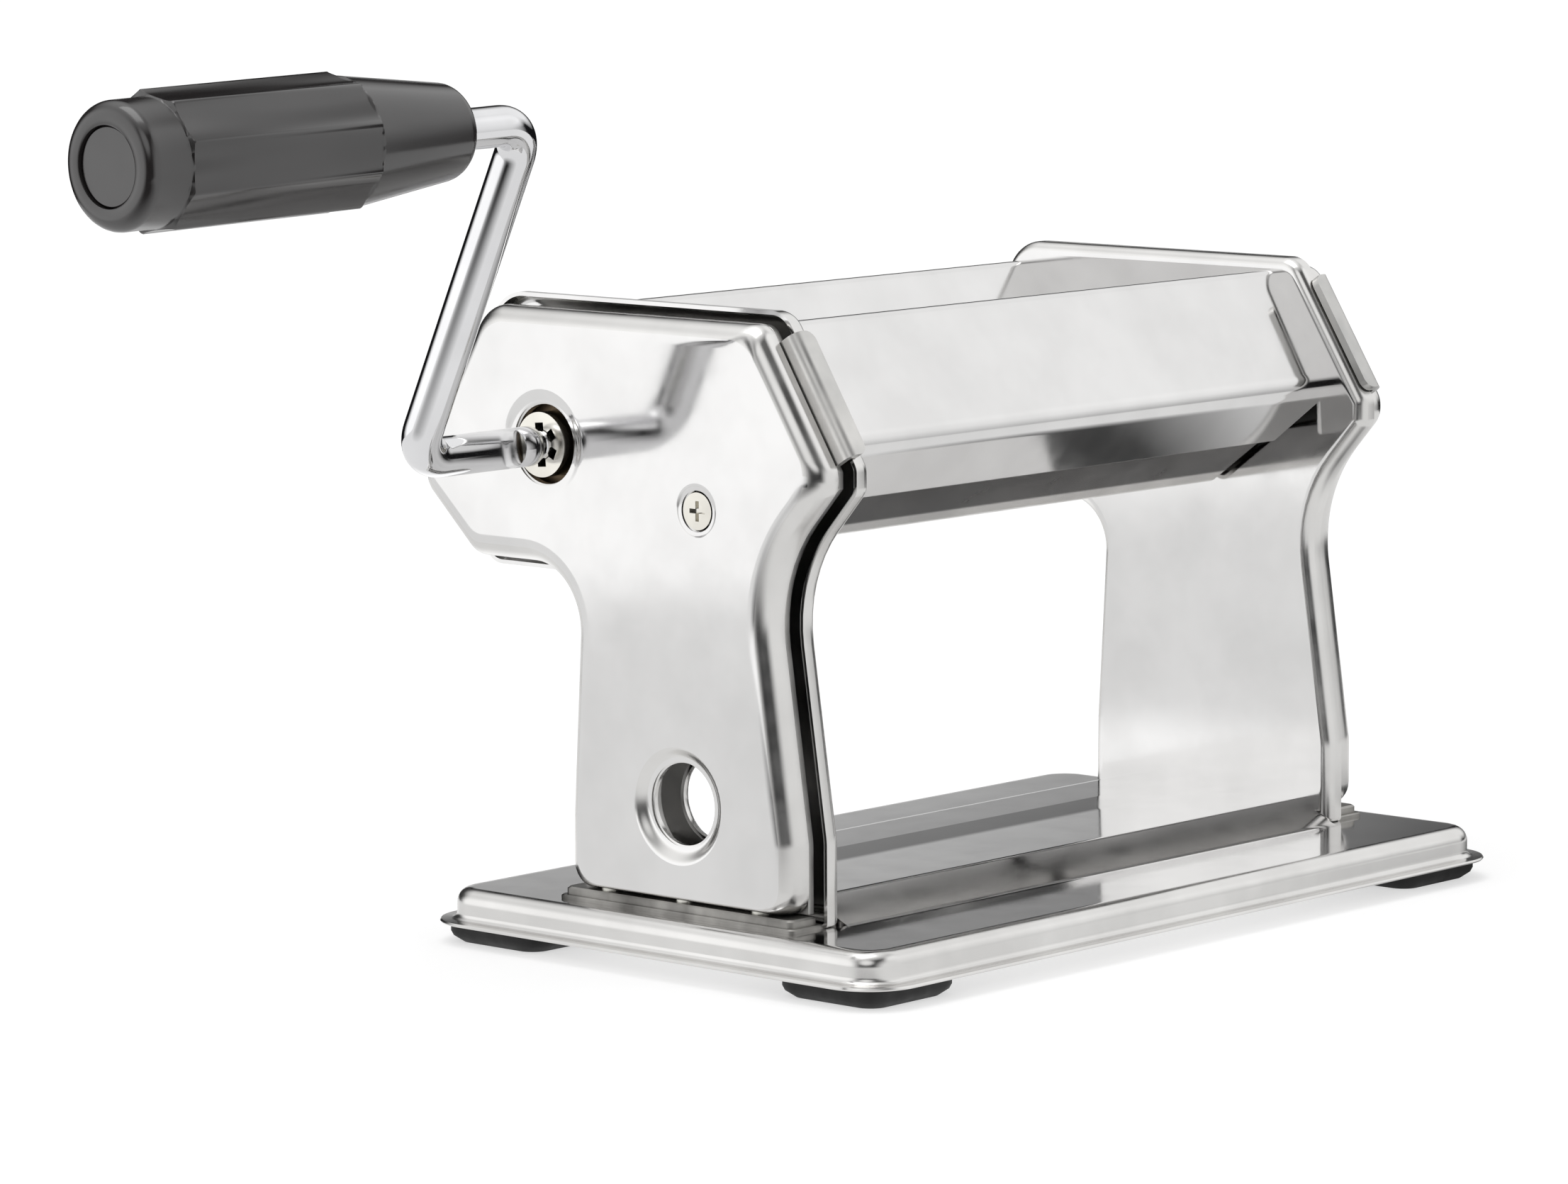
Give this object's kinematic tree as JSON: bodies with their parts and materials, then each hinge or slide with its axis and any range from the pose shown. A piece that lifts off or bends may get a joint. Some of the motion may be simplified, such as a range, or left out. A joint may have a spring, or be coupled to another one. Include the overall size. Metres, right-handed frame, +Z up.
{
  "type": "pasta roller machine",
  "caption": "Hand-cranked sheet roller for pasta dough: two geared steel rollers between polished pressed side frames on a footed base, with a bent crank and gap adjuster.",
  "frame": {"origin": "middle of the plane that the rubber feet stand on, under the centre of the base", "axes": "+X along the rollers, away from the crank; -Y is the front with the accessory rails; +Z up"},
  "size_m": [0.347, 0.1333, 0.1801],
  "materials": {
    "polished_steel": "mirror-polished stainless sheet",
    "galvanised": "dull galvanised steel with slight spangle",
    "chrome_rod": "bright chrome plate",
    "nickel": "bright nickel plate",
    "roller_steel": "fine ground steel",
    "zinc_fixing": "zinc-plated fasteners",
    "gear_steel": "dark sintered steel",
    "bronze": "sintered bronze bearing",
    "grip_plastic": "dark grey glossy moulded plastic",
    "knob_plastic": "black moulded plastic",
    "foot_rubber": "black rubber"
  },
  "bodies": {
    "frame": {"base_plate": "polished_steel", "rubber_feet": "foot_rubber", "base_rivets": "zinc_fixing", "inner_panel_left": "polished_steel", "inner_panel_right": "polished_steel", "side_frame_left": "galvanised", "side_frame_right": "galvanised", "outer_cover_left": "polished_steel", "outer_cover_right": "polished_steel", "cover_posts": "zinc_fixing", "cover_screws": "nickel", "front_guard": "polished_steel", "rear_guard": "polished_steel", "rear_scraper": "galvanised", "tie_rods": "zinc_fixing", "tie_rod_screws": "zinc_fixing", "drive_bush_left": "bronze", "drive_bush_right": "bronze", "cam_bridge_left": "galvanised", "cam_bridge_right": "galvanised", "bridge_screws": "zinc_fixing", "dial_plate": "polished_steel", "dial_rivets": "zinc_fixing"},
    "drive_set": {"drive_roller": "roller_steel", "drive_gear": "gear_steel", "crank_socket": "nickel"},
    "crank": {"crank_rod": "chrome_rod", "crank_cross_pin": "chrome_rod", "handle_washer": "zinc_fixing"},
    "handle": {"handle_grip": "grip_plastic", "handle_end_plug": "grip_plastic"},
    "carriage": {"bearing_block_left": "bronze", "bearing_block_right": "bronze", "front_scraper": "galvanised"},
    "front_roller_set": {"adjustable_roller": "roller_steel", "adjustable_gear": "gear_steel"},
    "adjuster": {"adjuster_shaft": "zinc_fixing", "cam_left": "gear_steel", "cam_right": "gear_steel", "knob_screw": "zinc_fixing", "knob_washer": "zinc_fixing"},
    "knob": {"adjuster_knob": "knob_plastic", "knob_cap": "knob_plastic", "detent_pin": "zinc_fixing", "knob_spring": "zinc_fixing"}
  },
  "joints": [
    {"name": "drive_spin", "type": "hinge", "parent": "frame", "child": "drive_set", "pos_m": [0, 0.035, 0.1016], "axis": [1, 0, 0], "continuous": true},
    {"name": "crank_pull", "type": "slide", "parent": "drive_set", "child": "crank", "axis": [-1, 0, 0], "range_m": [0, 0.02]},
    {"name": "handle_spin", "type": "hinge", "parent": "crank", "child": "handle", "pos_m": [-0.127, 0.00398, 0.16812], "axis": [-0.9996, 0.0118, -0.0253], "continuous": true},
    {"name": "carriage_slide", "type": "slide", "parent": "frame", "child": "carriage", "axis": [0, -1, 0], "range_m": [0, 0.0024]},
    {"name": "front_roller_spin", "type": "hinge", "parent": "carriage", "child": "front_roller_set", "pos_m": [0, 0.0086, 0.1016], "axis": [1, 0, 0], "continuous": true},
    {"name": "knob_turn", "type": "hinge", "parent": "frame", "child": "adjuster", "pos_m": [0, 0.0074, 0.1016], "axis": [1, 0, 0], "range_deg": [0, 180]},
    {"name": "knob_pull", "type": "slide", "parent": "adjuster", "child": "knob", "axis": [1, 0, 0], "range_m": [0, 0.004], "stiffness_N_per_m": 800, "springref_m": -0.004, "deforming": ["knob_spring"]}
  ],
  "couplings": [
    {"joint": "front_roller_spin", "follows": "drive_spin", "ratio": -1},
    {"joint": "knob_turn", "follows": "carriage_slide", "rad_per_m": 1309}
  ]
}
